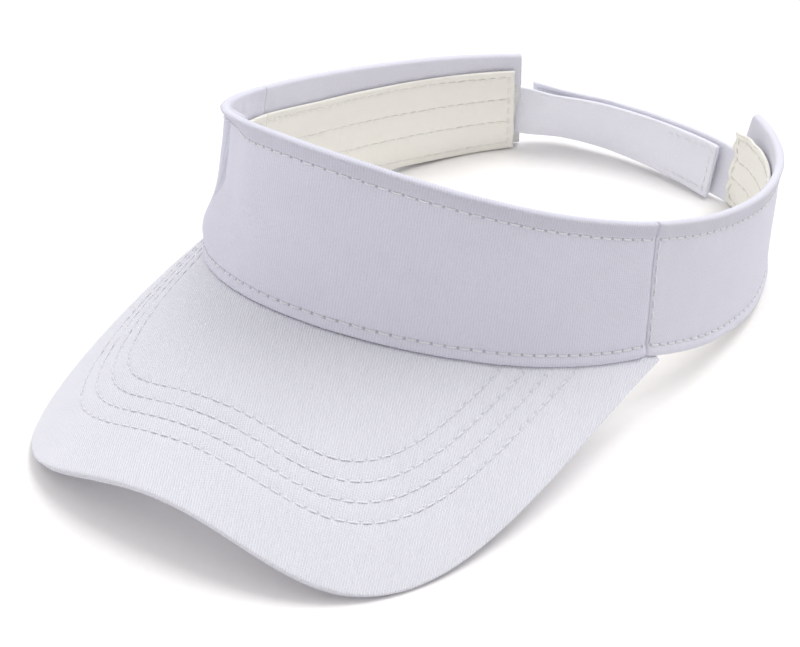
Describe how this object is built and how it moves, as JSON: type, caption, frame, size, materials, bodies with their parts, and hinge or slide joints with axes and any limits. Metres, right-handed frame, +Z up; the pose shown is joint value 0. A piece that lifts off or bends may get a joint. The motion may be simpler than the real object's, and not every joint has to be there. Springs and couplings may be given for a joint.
{
  "type": "sun visor",
  "caption": "Open-crown sun visor: curved stitched peak, tall front band, side panels, inner sweatband and an overlapping hook-and-loop back strap.",
  "frame": {"origin": "middle of the footprint, on the floor the visor stands on", "axes": "+Z up, the peak points along -Y, +X is towards the wearer's left"},
  "size_m": [0.1528, 0.2474, 0.0975],
  "materials": {
    "peak_cloth": "cotton twill",
    "band_cloth": "cotton twill",
    "sweatband": "soft woven lining",
    "interlining": "non-woven",
    "thread": "polyester sewing thread",
    "stiffener": "thin flexible board",
    "hook_tape": "nylon hook tape",
    "loop_tape": "brushed nylon loop tape"
  },
  "bodies": {
    "front": {"peak_top_cover": "peak_cloth", "peak_stiffener": "stiffener", "peak_under_cover": "peak_cloth", "peak_stitch_row_1": "thread", "peak_stitch_row_2": "thread", "peak_stitch_row_3": "thread", "peak_stitch_row_4": "thread", "front_panel": "band_cloth", "front_interlining": "interlining", "front_sweatband": "sweatband", "front_top_stitch": "thread", "front_bottom_stitch": "thread", "front_sweatband_stitch_1": "thread", "front_sweatband_stitch_2": "thread", "front_sweatband_stitch_3": "thread", "front_sweatband_stitch_4": "thread"},
    "left_side": {"left_panel": "band_cloth", "left_interlining": "interlining", "left_sweatband": "sweatband", "left_top_stitch": "thread", "left_bottom_stitch": "thread", "left_seam_stitch": "thread", "left_sweatband_stitch_1": "thread", "left_sweatband_stitch_2": "thread", "left_sweatband_stitch_3": "thread", "left_sweatband_stitch_4": "thread"},
    "right_side": {"right_panel": "band_cloth", "right_interlining": "interlining", "right_sweatband": "sweatband", "right_top_stitch": "thread", "right_bottom_stitch": "thread", "right_seam_stitch": "thread", "right_sweatband_stitch_1": "thread", "right_sweatband_stitch_2": "thread", "right_sweatband_stitch_3": "thread", "right_sweatband_stitch_4": "thread"},
    "left_strap": {"left_strap": "band_cloth", "hook_tape": "hook_tape", "left_strap_stitch": "thread"},
    "right_strap": {"right_strap": "band_cloth", "loop_tape": "loop_tape", "right_strap_stitch": "thread"}
  },
  "joints": [
    {"name": "left_side_flex", "type": "hinge", "parent": "front", "child": "left_side", "pos_m": [0.07267, 0.00132, -0.00066], "axis": [0, 0.022, 0.9998], "range_deg": [-8, 1], "stiffness_Nm_per_rad": 0.2},
    {"name": "right_side_flex", "type": "hinge", "parent": "front", "child": "right_side", "pos_m": [-0.07333, 0.00132, -0.00066], "axis": [0, 0.022, 0.9998], "range_deg": [-1, 8], "stiffness_Nm_per_rad": 0.2},
    {"name": "left_strap_peel", "type": "hinge", "parent": "left_side", "child": "left_strap", "pos_m": [0.03218, 0.11828, -0.00324], "axis": [0, 0.022, 0.9998], "range_deg": [-60, 0], "stiffness_Nm_per_rad": 0.02},
    {"name": "right_strap_flex", "type": "hinge", "parent": "right_side", "child": "right_strap", "pos_m": [-0.04222, 0.10832, -0.00302], "axis": [0, 0.022, 0.9998], "range_deg": [-30, 0], "stiffness_Nm_per_rad": 0.02}
  ],
  "couplings": [
    {"joint": "right_side_flex", "follows": "left_side_flex", "ratio": -1}
  ]
}
